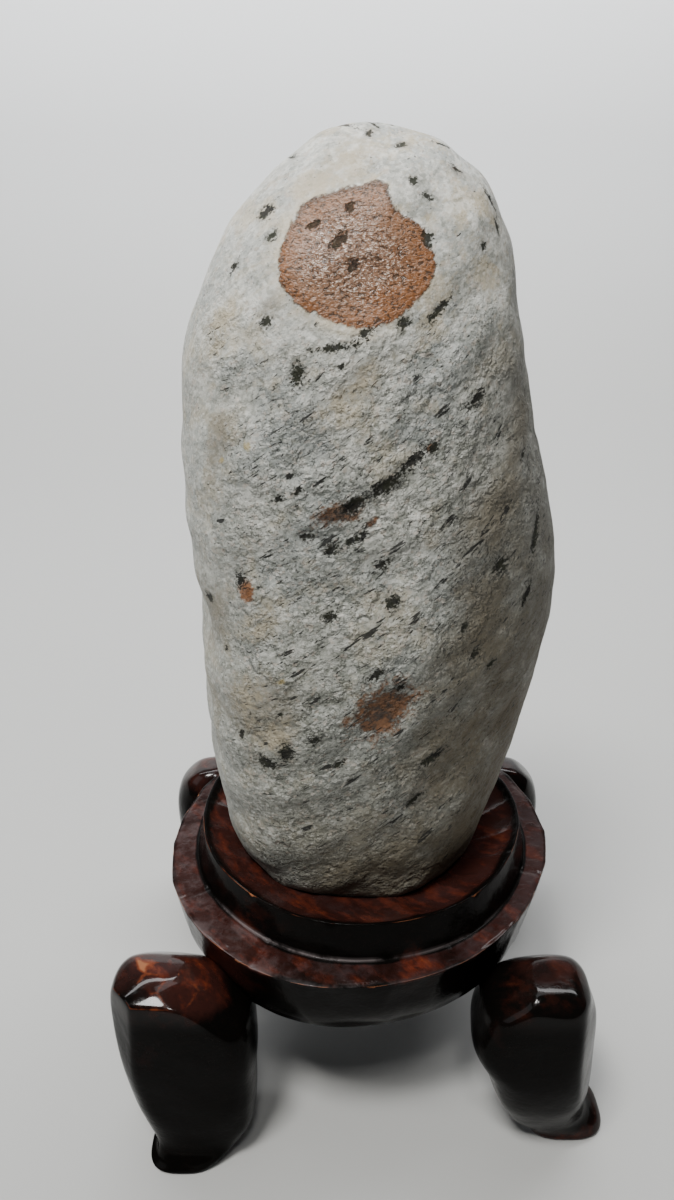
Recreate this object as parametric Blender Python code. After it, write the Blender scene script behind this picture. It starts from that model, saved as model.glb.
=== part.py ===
# A scholars rock: an upright boulder resting in the dished seat of a carved, four-legged wooden stand.
# Metres, +Z up. The floor is z = 0 and the origin is the middle of the stand's footprint.
# The front of the object faces -Y.

import math

import bmesh
import bpy
from mathutils import Vector, noise

# ---------------------------------------------------------------- driving dimensions

GAP = 0.0003                # left between pieces that touch

BODY_BOTTOM = 0.058         # underside of the stand's block
LEDGE_HEIGHT = 0.085        # top of the ledge
RIM_HEIGHT = 0.098          # top of the collar round the seat
SEAT_FLOOR = 0.0884         # middle of the dish, before the stone's hollow is cut
LEDGE_TURN = math.radians(-22)

STONE_BOTTOM = 0.078
STONE_TOP = 0.349
STONE_SQUARENESS = 2.35     # 2 is an ellipse, larger is boxier

STONE_AROUND = 64
STONE_ROWS = 36
BODY_AROUND = 60
LEG_AROUND = 20

# The stone from its foot to its crown: height, then the four sides as x, x, y, y, then the
# foremost line (x) and the widest line (y).
STONE_STATIONS = (
    # height   left     right    front    back     crest    waist
    (0.0780, -0.0010, -0.0010, 0.0050, 0.0050, -0.0010, 0.0050),
    (0.0805, -0.0310, 0.0290, -0.0280, 0.0380, -0.0020, 0.0050),
    (0.0890, -0.0475, 0.0442, -0.0430, 0.0530, -0.0030, 0.0050),
    (0.1050, -0.0540, 0.0512, -0.0485, 0.0575, -0.0050, 0.0045),
    (0.1260, -0.0570, 0.0582, -0.0515, 0.0580, -0.0080, 0.0035),
    (0.1480, -0.0583, 0.0624, -0.0530, 0.0570, -0.0100, 0.0020),
    (0.1700, -0.0590, 0.0650, -0.0540, 0.0550, -0.0110, 0.0010),
    (0.1910, -0.0592, 0.0664, -0.0542, 0.0532, -0.0110, 0.0000),
    (0.2110, -0.0604, 0.0664, -0.0538, 0.0515, -0.0100, 0.0000),
    (0.2330, -0.0620, 0.0636, -0.0528, 0.0495, -0.0080, 0.0000),
    (0.2560, -0.0620, 0.0580, -0.0510, 0.0470, -0.0060, 0.0000),
    (0.2780, -0.0594, 0.0530, -0.0475, 0.0435, -0.0040, 0.0000),
    (0.2990, -0.0536, 0.0481, -0.0425, 0.0390, -0.0020, 0.0000),
    (0.3180, -0.0448, 0.0441, -0.0352, 0.0332, 0.0000, 0.0005),
    (0.3340, -0.0308, 0.0350, -0.0250, 0.0250, 0.0005, 0.0010),
    (0.3450, -0.0150, 0.0202, -0.0125, 0.0142, 0.0012, 0.0010),
    (0.3490, 0.0020, 0.0020, 0.0010, 0.0010, 0.0020, 0.0010),
)

# Swellings (+) and hollows (-) of the stone: centre on its surface, reach, and height.
STONE_LUMPS = (
    ((-0.061, -0.020, 0.194), 0.011, -0.0032),   # crease in the left side
    ((-0.048, -0.036, 0.205), 0.016, -0.0018),   # the crease running on across the front
    ((-0.020, -0.054, 0.222), 0.020, -0.0016),
    ((0.014, -0.053, 0.246), 0.018, -0.0014),
    ((0.070, -0.004, 0.204), 0.026, 0.0020),     # bulge of the right side
    ((0.060, -0.020, 0.118), 0.028, -0.0018),    # drawn-in lower right
    ((0.046, -0.040, 0.150), 0.028, -0.0026),    # flatter plane low on the right
    ((-0.030, -0.048, 0.150), 0.030, 0.0018),    # full lower left
    ((-0.052, -0.018, 0.285), 0.026, 0.0010),    # left shoulder
    ((0.012, -0.050, 0.185), 0.024, 0.0020),     # swelling in the middle of the front
    ((0.040, -0.030, 0.262), 0.022, -0.0016),    # worn flat above the bulge
    ((0.040, 0.030, 0.300), 0.026, 0.0014),      # right shoulder, behind
    ((-0.030, 0.045, 0.240), 0.032, 0.0030),     # ridge up the back
    ((0.034, 0.046, 0.205), 0.026, -0.0034),     # hollow in the back
    ((-0.044, 0.040, 0.135), 0.022, -0.0030),    # lower hollow in the back
    ((0.000, 0.044, 0.285), 0.020, -0.0018),     # worn flat high on the back
    ((0.020, 0.056, 0.140), 0.024, 0.0018),
    ((0.056, 0.022, 0.250), 0.018, -0.0018),     # notch on the right, behind
    ((0.030, 0.052, 0.172), 0.009, -0.0020),     # pit in the back
    ((-0.058, 0.018, 0.165), 0.008, -0.0014),    # pit in the left side
)

# The bands of the gneiss weather into low slanting ridges.
BAND_ACROSS = Vector((0.56, 0.30, -0.77))
BAND_SPACING = 0.0200
BAND_HEIGHT = 0.0004
BAND_WANDER = 3.2
STONE_UNEVENNESS = ((0.029, 0.0012), (0.0125, 0.0007))   # spacing and height

# The block of the stand, from its underside out, up and back in to the dish:
# height, half width, half depth, and whether it follows the turned oval of the ledge.
BODY_RINGS = (
    (BODY_BOTTOM, 0.0400, 0.0450, True),
    (BODY_BOTTOM, 0.0680, 0.0745, True),
    (BODY_BOTTOM + 0.0018, 0.0702, 0.0770, True),
    (BODY_BOTTOM + 0.0090, 0.0728, 0.0800, True),
    (BODY_BOTTOM + 0.0180, 0.0750, 0.0824, True),
    (LEDGE_HEIGHT - 0.0030, 0.0762, 0.0836, True),
    (LEDGE_HEIGHT - 0.0008, 0.0759, 0.0832, True),
    (LEDGE_HEIGHT, 0.0748, 0.0820, True),
    (LEDGE_HEIGHT, 0.0700, 0.0750, True),
    (LEDGE_HEIGHT - 0.0004, 0.0672, 0.0708, False),
    (LEDGE_HEIGHT + 0.0012, 0.0662, 0.0696, False),
    (LEDGE_HEIGHT + 0.0065, 0.0654, 0.0686, False),
    (RIM_HEIGHT - 0.0010, 0.0648, 0.0678, False),
    (RIM_HEIGHT, 0.0640, 0.0669, False),
    (RIM_HEIGHT - 0.0003, 0.0624, 0.0652, False),
    (RIM_HEIGHT - 0.0036, 0.0570, 0.0600, False),
    (RIM_HEIGHT - 0.0066, 0.0500, 0.0530, False),
    (RIM_HEIGHT - 0.0088, 0.0400, 0.0430, False),
)
FIRST_LEDGE_RING = 7        # rings up to this one are the outer wall, which the legs fit against

# The legs from sole to knee: height, then how far each section lies from the middle of the stand,
# sideways (inner, outer) and fore and aft (inner, outer).
LEG_SECTIONS = {
    "leg_front_left": (
        (0.0000, 0.0545, 0.0780, 0.0650, 0.0885),
        (0.0012, 0.0530, 0.0792, 0.0640, 0.0897),
        (0.0038, 0.0490, 0.0772, 0.0615, 0.0885),
        (0.0080, 0.0436, 0.0784, 0.0560, 0.0862),
        (0.0150, 0.0385, 0.0820, 0.0475, 0.0862),
        (0.0250, 0.0370, 0.0856, 0.0410, 0.0872),
        (0.0370, 0.0364, 0.0882, 0.0375, 0.0880),
        (0.0500, 0.0355, 0.0902, 0.0375, 0.0884),
        (0.0610, 0.0378, 0.0908, 0.0410, 0.0882),
        (0.0690, 0.0445, 0.0904, 0.0480, 0.0874),
        (0.0745, 0.0510, 0.0889, 0.0540, 0.0857),
        (0.0785, 0.0572, 0.0858, 0.0592, 0.0834),
        (0.0806, 0.0635, 0.0795, 0.0650, 0.0795),
    ),
    "leg_front_right": (
        (0.0000, 0.0635, 0.0912, 0.0500, 0.0755),
        (0.0014, 0.0620, 0.0930, 0.0490, 0.0765),
        (0.0045, 0.0590, 0.0916, 0.0485, 0.0768),
        (0.0090, 0.0545, 0.0862, 0.0500, 0.0780),
        (0.0150, 0.0512, 0.0842, 0.0470, 0.0806),
        (0.0250, 0.0465, 0.0855, 0.0420, 0.0842),
        (0.0370, 0.0426, 0.0860, 0.0385, 0.0866),
        (0.0490, 0.0370, 0.0856, 0.0380, 0.0876),
        (0.0600, 0.0392, 0.0842, 0.0420, 0.0876),
        (0.0685, 0.0432, 0.0814, 0.0492, 0.0867),
        (0.0745, 0.0490, 0.0796, 0.0552, 0.0850),
        (0.0785, 0.0538, 0.0764, 0.0602, 0.0826),
        (0.0804, 0.0584, 0.0718, 0.0650, 0.0788),
    ),
    "leg_rear_left": (
        (0.0000, 0.0590, 0.0835, 0.0640, 0.0885),
        (0.0012, 0.0578, 0.0845, 0.0630, 0.0895),
        (0.0040, 0.0552, 0.0830, 0.0610, 0.0882),
        (0.0085, 0.0506, 0.0812, 0.0556, 0.0850),
        (0.0150, 0.0456, 0.0820, 0.0486, 0.0840),
        (0.0250, 0.0414, 0.0838, 0.0422, 0.0846),
        (0.0370, 0.0388, 0.0852, 0.0382, 0.0856),
        (0.0500, 0.0376, 0.0866, 0.0366, 0.0858),
        (0.0610, 0.0396, 0.0866, 0.0380, 0.0842),
        (0.0695, 0.0450, 0.0850, 0.0412, 0.0796),
        (0.0760, 0.0512, 0.0822, 0.0446, 0.0724),
        (0.0805, 0.0578, 0.0782, 0.0486, 0.0650),
        (0.0824, 0.0636, 0.0732, 0.0520, 0.0594),
    ),
    "leg_rear_right": (
        (0.0000, 0.0584, 0.0840, 0.0640, 0.0882),
        (0.0013, 0.0572, 0.0850, 0.0630, 0.0892),
        (0.0042, 0.0548, 0.0838, 0.0608, 0.0880),
        (0.0088, 0.0504, 0.0820, 0.0552, 0.0848),
        (0.0155, 0.0460, 0.0828, 0.0482, 0.0836),
        (0.0255, 0.0420, 0.0846, 0.0420, 0.0844),
        (0.0375, 0.0394, 0.0860, 0.0384, 0.0854),
        (0.0500, 0.0380, 0.0872, 0.0366, 0.0856),
        (0.0612, 0.0398, 0.0872, 0.0380, 0.0842),
        (0.0698, 0.0450, 0.0856, 0.0412, 0.0796),
        (0.0764, 0.0512, 0.0828, 0.0446, 0.0726),
        (0.0808, 0.0578, 0.0786, 0.0488, 0.0652),
        (0.0828, 0.0638, 0.0736, 0.0522, 0.0596),
    ),
}
LEG_SQUARENESS = 2.9
LEG_INNER_CUT = 0.24        # how much of the section's inner corner is carved away


# ---------------------------------------------------------------- curves and surfaces

def catmull(before, start, end, after, t):
    """Point at t (0 to 1) between start and end, on a smooth curve through all four values."""
    return 0.5 * (
        2 * start
        + (end - before) * t
        + (2 * before - 5 * start + 4 * end - after) * t * t
        + (3 * start - before - 3 * end + after) * t * t * t
    )


def along(values, place, mirror):
    """Smooth value at a place along a list. Past its ends the list is mirrored, with its sign if asked."""
    last = len(values) - 1
    index = min(int(place), last - 1)
    before = values[index - 1] if index > 0 else mirror * values[1]
    after = values[index + 2] if index + 2 <= last else mirror * values[last - 1]
    return catmull(before, values[index], values[index + 1], after, place - index)


def rounded_square(angle, squareness):
    """Unit direction of a superellipse, as (x, y)."""
    power = 2 / squareness
    cosine = math.cos(angle)
    sine = math.sin(angle)
    return (
        math.copysign(abs(cosine) ** power, cosine),
        math.copysign(abs(sine) ** power, sine),
    )


def hand_cut(angle):
    """Scale of an outline that a knife has left slightly uneven."""
    return 1 + 0.0045 * math.sin(3 * angle + 0.6) + 0.0035 * math.sin(7 * angle + 2.1)


def loft(name, rings, collection, material, first_tip=None, last_tip=None):
    """Closed surface through rings of points; each end is a fan to its tip, or one flat face."""
    bm = bmesh.new()
    rows = [[bm.verts.new(point) for point in ring] for ring in rings]
    count = len(rows[0])
    for lower, upper in zip(rows, rows[1:]):
        for i in range(count):
            j = (i + 1) % count
            bm.faces.new((lower[i], lower[j], upper[j], upper[i]))
    for row, tip, flip in ((rows[0], first_tip, True), (rows[-1], last_tip, False)):
        if tip is None:
            bm.faces.new(row[::-1] if flip else row)
            continue
        centre = bm.verts.new(tip)
        for i in range(count):
            j = (i + 1) % count
            bm.faces.new((row[j], row[i], centre) if flip else (row[i], row[j], centre))
    bm.normal_update()
    return finish(name, bm, collection, material)


def finish(name, bm, collection, material, smooth_under=40):
    """Object from a finished bmesh, smooth where its faces meet gently."""
    mesh = bpy.data.meshes.new(name)
    bm.to_mesh(mesh)
    bm.free()
    mesh.shade_smooth()
    mesh.set_sharp_from_angle(angle=math.radians(smooth_under))
    if material is not None:
        mesh.materials.append(material)
    piece = bpy.data.objects.new(name, mesh)
    collection.objects.link(piece)
    return piece


def cut(piece, cutter):
    """Takes the cutter's volume out of the piece."""
    difference = piece.modifiers.new("fit to " + cutter.name, "BOOLEAN")
    difference.operation = "DIFFERENCE"
    difference.solver = "EXACT"
    difference.object = cutter


def hide_cutter(cutter):
    cutter.hide_render = True
    cutter.display_type = "WIRE"


# ---------------------------------------------------------------- scene and materials

def clear_scene():
    for item in list(bpy.data.objects):
        bpy.data.objects.remove(item, do_unlink=True)


def new_collection(name):
    collection = bpy.data.collections.new(name)
    bpy.context.scene.collection.children.link(collection)
    return collection


def surface(name, colour, roughness, coat=0.0):
    material = bpy.data.materials.new(name)
    material.use_nodes = True
    shader = material.node_tree.nodes["Principled BSDF"]
    shader.inputs["Base Color"].default_value = (*colour, 1)
    shader.inputs["Roughness"].default_value = roughness
    shader.inputs["Metallic"].default_value = 0
    shader.inputs["Coat Weight"].default_value = coat
    return material


# ---------------------------------------------------------------- the stone

def stone_relief(point):
    """How far the stone's surface stands out at a point: its swellings, hollows and slanting bands."""
    height = 0
    for centre, reach, amount in STONE_LUMPS:
        distance = (point - Vector(centre)).length / reach
        height += amount * math.exp(-distance * distance)
    wander = BAND_WANDER * noise.noise(point * 18)
    height += BAND_HEIGHT * math.sin(point.dot(BAND_ACROSS) / BAND_SPACING * 2 * math.pi + wander)
    for spacing, amount in STONE_UNEVENNESS:
        height += amount * noise.noise(point / spacing)
    return height


def stone_ring(place, columns):
    """One level ring of the stone's plain form, at a place along its stations."""
    height, left, right, front, back, crest, waist = (
        along(column, place, mirror) for column, mirror in columns
    )
    ring = []
    for i in range(STONE_AROUND):
        x, y = rounded_square(2 * math.pi * i / STONE_AROUND, STONE_SQUARENESS)
        across = right if x > 0 else left
        deep = back if y > 0 else front
        ring.append(Vector((crest + abs(x) * across, waist + abs(y) * deep, height)))
    return ring


def make_stone(name, collection, material, grow=0.0):
    heights, left, right, front, back, crest, waist = zip(*STONE_STATIONS)
    columns = (
        (heights, 1),
        ([x - c for x, c in zip(left, crest)], -1),
        ([x - c for x, c in zip(right, crest)], -1),
        ([y - w for y, w in zip(front, waist)], -1),
        ([y - w for y, w in zip(back, waist)], -1),
        (crest, 1),
        (waist, 1),
    )
    last = len(STONE_STATIONS) - 1
    places = [last * row / STONE_ROWS for row in range(1, STONE_ROWS)]
    rings = [stone_ring(place, columns) for place in places]
    foot = (crest[0], waist[0], STONE_BOTTOM)
    crown = (crest[-1], waist[-1], STONE_TOP)
    stone = loft(name, rings, collection, material, foot, crown)
    mesh = stone.data
    moves = [vertex.normal * (stone_relief(vertex.co) + grow) for vertex in mesh.vertices]
    for vertex, move in zip(mesh.vertices, moves):
        vertex.co += move
    return stone


# ---------------------------------------------------------------- the stand

def oval_ring(height, half_width, half_depth, turned, around, grow=0.0):
    """Level ring of the stand's block, with its hand-cut unevenness."""
    turn = LEDGE_TURN if turned else 0
    ring = []
    for i in range(around):
        angle = 2 * math.pi * i / around
        away = angle - turn
        radius = 1 / math.hypot(
            math.cos(away) / (half_width + grow), math.sin(away) / (half_depth + grow)
        )
        radius *= hand_cut(angle)
        ring.append(Vector((radius * math.cos(angle), radius * math.sin(angle), height)))
    return ring


def make_stand_body(collection, material, stone_cutter):
    rings = [oval_ring(*ring, BODY_AROUND) for ring in BODY_RINGS]
    body = loft(
        "stand_body", rings, collection, material, (0, 0, BODY_BOTTOM), (0, 0, SEAT_FLOOR)
    )
    cut(body, stone_cutter)
    return body


def make_wall_cutter(collection):
    """The block's outer wall, a hair larger, for the legs to be fitted against."""
    wall = BODY_RINGS[1:FIRST_LEDGE_RING]
    rings = [oval_ring(*ring, BODY_AROUND, GAP) for ring in wall]
    underside = [point - Vector((0, 0, GAP)) for point in rings[0]]
    headroom = [point + Vector((0, 0, 0.02)) for point in rings[-1]]
    return loft("wall_cutter", [underside, *rings[1:], headroom], collection, None)


def leg_ring(section, side, end):
    """Level ring of a leg: a rounded square with its inner corner carved away."""
    height, inner_x, outer_x, inner_y, outer_y = section
    middle_x = (inner_x + outer_x) / 2
    middle_y = (inner_y + outer_y) / 2
    ring = []
    for i in range(LEG_AROUND):
        x, y = rounded_square(2 * math.pi * (i + 0.5) / LEG_AROUND, LEG_SQUARENESS)
        inward = max(0.0, -(x + y) / 2)
        keep = 1 - LEG_INNER_CUT * inward
        out_x = middle_x + x * keep * (outer_x - inner_x) / 2
        out_y = middle_y + y * keep * (outer_y - inner_y) / 2
        ring.append(Vector((side * out_x, end * out_y, height)))
    return ring if side * end > 0 else ring[::-1]


def make_leg(name, collection, material, wall_cutter):
    side = -1 if "left" in name else 1
    end = -1 if "front" in name else 1
    sections = LEG_SECTIONS[name]
    rings = [leg_ring(section, side, end) for section in sections]
    top = sum(rings[-1], Vector()) / LEG_AROUND + Vector((0, 0, 0.0005))
    leg = loft(name, rings, collection, material, None, top)
    cut(leg, wall_cutter)
    return leg


def main():
    clear_scene()
    parts = new_collection("scholars_rock")
    cutters = new_collection("cutters")
    gneiss = surface("pale_gneiss", (0.56, 0.56, 0.52), 0.62)
    lacquer = surface("red_brown_lacquer", (0.085, 0.014, 0.007), 0.14, 0.6)

    make_stone("stone", parts, gneiss)
    stone_cutter = make_stone("stone_cutter", cutters, None, GAP)
    wall_cutter = make_wall_cutter(cutters)
    make_stand_body(parts, lacquer, stone_cutter)
    for name in LEG_SECTIONS:
        make_leg(name, parts, lacquer, wall_cutter)
    for cutter in (stone_cutter, wall_cutter):
        hide_cutter(cutter)


main()
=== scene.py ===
import math
import random

import bpy
import numpy as np
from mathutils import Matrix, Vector, noise
from mathutils.bvhtree import BVHTree


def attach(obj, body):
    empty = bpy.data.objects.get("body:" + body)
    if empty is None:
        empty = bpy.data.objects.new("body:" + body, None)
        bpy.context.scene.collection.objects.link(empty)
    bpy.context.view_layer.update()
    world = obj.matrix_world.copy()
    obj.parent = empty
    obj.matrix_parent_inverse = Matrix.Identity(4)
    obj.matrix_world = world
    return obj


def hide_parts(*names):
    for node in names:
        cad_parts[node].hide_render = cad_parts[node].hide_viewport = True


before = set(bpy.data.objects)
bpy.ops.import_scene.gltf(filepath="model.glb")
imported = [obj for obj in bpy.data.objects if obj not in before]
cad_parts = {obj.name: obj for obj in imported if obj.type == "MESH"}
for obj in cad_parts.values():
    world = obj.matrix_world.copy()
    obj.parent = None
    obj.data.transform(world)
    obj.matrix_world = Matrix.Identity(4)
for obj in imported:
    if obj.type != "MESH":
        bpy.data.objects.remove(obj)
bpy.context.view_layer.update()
print("frame loaded:", ", ".join(sorted(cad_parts)))

mm = 0.001
gap = 0.3 * mm              # left between pieces that touch


# Shader maths: a socket that can be added, taken away and multiplied

class Socket:
    def __init__(self, shader, socket):
        self.shader = shader
        self.socket = socket

    def maths(self, operation, first, second):
        return self.shader.node("ShaderNodeMath", {"operation": operation}, (first, second))

    def __add__(self, other):
        return self.maths("ADD", self, other)

    def __sub__(self, other):
        return self.maths("SUBTRACT", self, other)

    def __rsub__(self, other):
        return self.maths("SUBTRACT", other, self)

    def __mul__(self, other):
        return self.maths("MULTIPLY", self, other)

    __radd__ = __add__
    __rmul__ = __mul__


class Shader:
    # the nodes of a material or world; look holds its tints, which are then given by name
    def __init__(self, owner, look, last="Principled BSDF"):
        owner.use_nodes = True
        self.owner = owner
        self.look = look
        self.tree = owner.node_tree
        self.last = self.tree.nodes[last]

    # every node comes from here: its type, its settings, then its sockets by place or name
    def node(self, kind, settings=None, values=(), output=0):
        made = self.tree.nodes.new(kind)
        for setting, value in (settings or {}).items():
            setattr(made, setting, value)
        pairs = values.items() if isinstance(values, dict) else enumerate(values)
        for place, value in pairs:
            self.feed(made.inputs[place], value)
        return Socket(self, made.outputs[output])

    def feed(self, target, value):
        if isinstance(value, Socket):
            self.tree.links.new(value.socket, target)
        elif isinstance(value, str):
            target.default_value = (*self.look[value], 1)
        else:
            target.default_value = value

    def field(self, name):
        return self.node("ShaderNodeAttribute", {"attribute_name": name}, output="Fac")

    def place(self):
        return self.node("ShaderNodeTexCoord", output="Object")

    def along(self, place, axis):
        # distance along an axis, in mm
        return self.node("ShaderNodeSeparateXYZ", {}, (place,), axis) * (1 / mm)

    def turned(self, place, turn, scale):
        turnedPlace = self.node("ShaderNodeMapping", {}, {"Vector": place, "Rotation": turn})
        return self.node("ShaderNodeMapping", {}, {"Vector": turnedPlace, "Scale": scale})

    def cloud(self, place, spacing, detail, roughness=0.5, distortion=0.0):
        values = {"Vector": place, "Scale": 1 / (spacing * mm), "Detail": detail}
        values |= {"Roughness": roughness, "Distortion": distortion}
        return self.node("ShaderNodeTexNoise", {}, values)

    def cells(self, place, spacing, output="Distance"):
        values = {"Vector": place, "Scale": 1 / (spacing * mm)}
        return self.node("ShaderNodeTexVoronoi", {}, values, output)

    def step(self, value, low, high):
        settings = {"interpolation_type": "SMOOTHSTEP", "clamp": True}
        return self.node("ShaderNodeMapRange", settings, (value, low, high))

    def larger(self, first, second):
        return self.node("ShaderNodeMath", {"operation": "MAXIMUM"}, (first, second))

    def mix(self, mask, first, second):
        return self.node("ShaderNodeMix", {"data_type": "RGBA"}, {0: mask, 6: first, 7: second}, 2)

    def layers(self, colour, *rows):
        # lays tints over a colour: pattern, where it starts and is full, share, tint
        for pattern, start, full, share, tint in rows:
            colour = self.mix(self.step(pattern, start, full) * share, colour, tint)
        return colour

    def bump(self, height, distance):
        values = {"Strength": 1.0, "Distance": distance * mm, "Height": height}
        return self.node("ShaderNodeBump", {}, values)

    def finish(self, **sockets):
        for socket, value in sockets.items():
            self.feed(self.last.inputs[socket.replace("_", " ")], value)
        return self.owner


# Mesh helpers

def curveThrough(values, places, mirror=1):
    # smooth values at fractional places along a list, which is mirrored past its ends
    padded = np.concatenate(([mirror * values[1]], values, [mirror * values[-2]]))
    index = np.minimum(places.astype(int), len(values) - 2)
    before, start, end, after = (padded[index + k] for k in range(4))
    t = places - index
    return 0.5 * (
        2 * start
        + (end - before) * t
        + (2 * before - 5 * start + 4 * end - after) * t ** 2
        + (3 * start - before - 3 * end + after) * t ** 3
    )


def smoothStep(values, low, high):
    t = np.clip((values - low) / (high - low), 0, 1)
    return t * t * (3 - 2 * t)


def noiseAt(points, spacing):
    # spacing in mm
    return np.array([noise.noise(point) for point in (points / (spacing * mm)).tolist()])


def fallOff(points, centre, reach):
    # 1 at the centre, fading away over the reach, both in mm
    return np.exp(-((points / mm - centre) ** 2).sum(1) / reach ** 2)


def squareDirections(around, squareness, offset=0.0):
    # points of a unit superellipse at even angles
    angles = 2 * math.pi * (np.arange(around) + offset) / around
    x = np.cos(angles)
    y = np.sin(angles)
    reach = (np.abs(x) ** squareness + np.abs(y) ** squareness) ** (-1 / squareness)
    return x * reach, y * reach


def loftMesh(name, rings, firstTip, lastTip):
    # closed mesh through level rings of points, with a fan to a tip at each end
    rows, around = rings.shape[:2]
    points = np.concatenate((rings.reshape(-1, 3), [firstTip, lastTip]))
    grid = np.arange(rows * around).reshape(rows, around)
    beside = np.roll(grid, -1, axis=1)
    quads = np.stack((grid[:-1], beside[:-1], beside[1:], grid[1:]), -1).reshape(-1, 4)
    tip = rows * around
    firstFan = np.stack((beside[0], grid[0], np.full(around, tip)), -1)
    lastFan = np.stack((grid[-1], beside[-1], np.full(around, tip + 1)), -1)
    mesh = bpy.data.meshes.new(name)
    mesh.from_pydata(points.tolist(), [], quads.tolist() + firstFan.tolist() + lastFan.tolist())
    mesh.shade_smooth()
    return mesh


def pointsOf(mesh, kind="co"):
    # the vertices, or with the kind normal, the way that each faces
    values = np.empty(len(mesh.vertices) * 3)
    mesh.vertices.foreach_get(kind, values)
    return values.reshape(-1, 3)


def moveTo(mesh, points):
    mesh.vertices.foreach_set("co", points.ravel())
    mesh.update()


def raiseBy(mesh, heights):
    moveTo(mesh, pointsOf(mesh) + pointsOf(mesh, "normal") * heights[:, None])


def addFields(mesh, **fields):
    # each is one number per vertex, read by the material
    for name, values in fields.items():
        mesh.attributes.new(name, "FLOAT", "POINT").data.foreach_set("value", values)


def convexity(mesh, passes):
    # above 0 on edges that stand out, below 0 in corners, about 1 on a 1 mm round
    points = pointsOf(mesh)
    normals = pointsOf(mesh, "normal")
    ends = np.empty(len(mesh.edges) * 2, int)
    mesh.edges.foreach_get("vertices", ends)
    a, b = ends.reshape(-1, 2).T
    step = points[b] - points[a]
    length = np.maximum((step ** 2).sum(1), 1e-10)
    count = np.bincount(a, minlength=len(points)) + np.bincount(b, minlength=len(points))
    bend = np.zeros(len(points))
    np.add.at(bend, a, -(normals[a] * step).sum(1) / length)
    np.add.at(bend, b, (normals[b] * step).sum(1) / length)
    bend = bend / count * mm
    for _ in range(passes):
        near = np.bincount(a, bend[b], len(points)) + np.bincount(b, bend[a], len(points))
        bend = (bend + near) / (1 + count)
    return bend


def addObject(name, data):
    made = bpy.data.objects.new(name, data)
    bpy.context.scene.collection.objects.link(made)
    return made


def showPiece(name, mesh, material, node):
    mesh.materials.append(material)
    piece = addObject(name, mesh)
    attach(piece, "root")
    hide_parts(node)


# The stone

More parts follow.
